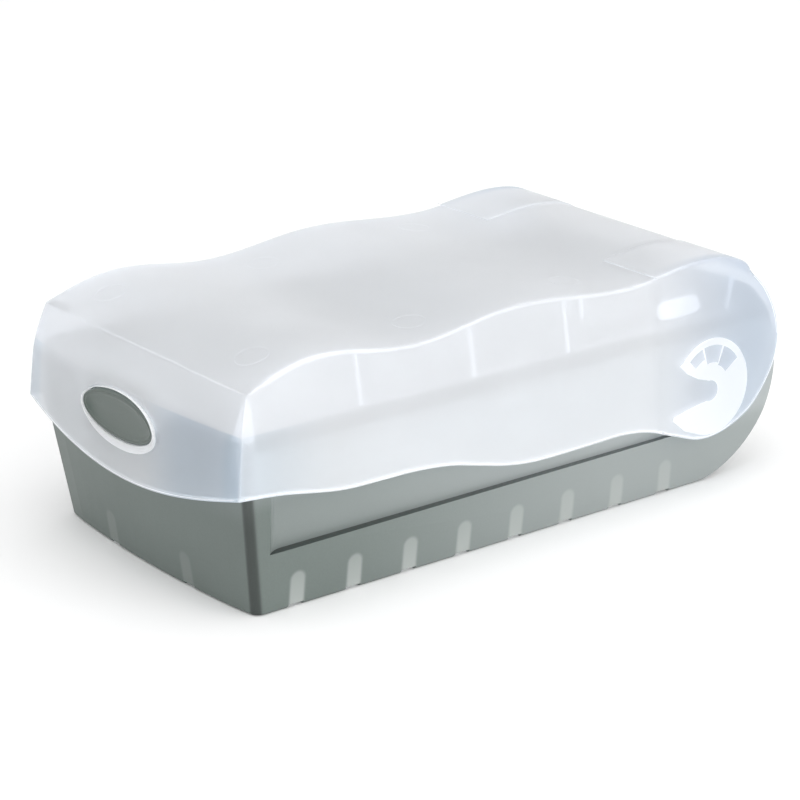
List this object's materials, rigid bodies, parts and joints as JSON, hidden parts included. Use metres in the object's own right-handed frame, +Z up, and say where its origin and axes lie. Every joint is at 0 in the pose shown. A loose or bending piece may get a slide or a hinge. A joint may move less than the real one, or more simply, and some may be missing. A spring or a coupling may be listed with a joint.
{
  "type": "card index box",
  "caption": "Card index box with a smoke grey tray, a frosted hinged lid with a waved top, a sprung latch tongue with an oval push button, and a leaning card support plate.",
  "frame": {"origin": "middle of the footprint, at the height the underside stands on", "axes": "+X across the box, +Y from the latch end to the hinge end, +Z up"},
  "size_m": [0.1284, 0.2379, 0.0834],
  "materials": {
    "smoke_grey_plastic": "translucent smoke grey, fine satin",
    "frosted_clear_plastic": "frosted translucent, colourless with a cool cast",
    "dark_grey_plastic": "smoke grey, satin"
  },
  "bodies": {
    "tray": {"base_tray": "smoke_grey_plastic"},
    "lid": {"lid": "frosted_clear_plastic"},
    "latch": {"latch_tongue": "smoke_grey_plastic", "latch_button": "dark_grey_plastic"},
    "plate": {"support_plate": "smoke_grey_plastic"}
  },
  "joints": [
    {"name": "lid_hinge", "type": "hinge", "parent": "tray", "child": "lid", "pos_m": [0, 0.0814, 0.0372], "axis": [-1, 0, 0], "range_deg": [0, 105]},
    {"name": "latch_flex", "type": "hinge", "parent": "tray", "child": "latch", "pos_m": [0, -0.11314, 0.039], "axis": [-1, 0, 0], "range_deg": [0, 5], "stiffness_Nm_per_rad": 0.6},
    {"name": "plate_tilt", "type": "hinge", "parent": "tray", "child": "plate", "pos_m": [0, 0.068, 0.0023], "axis": [1, 0, 0], "range_deg": [0, 12]}
  ]
}
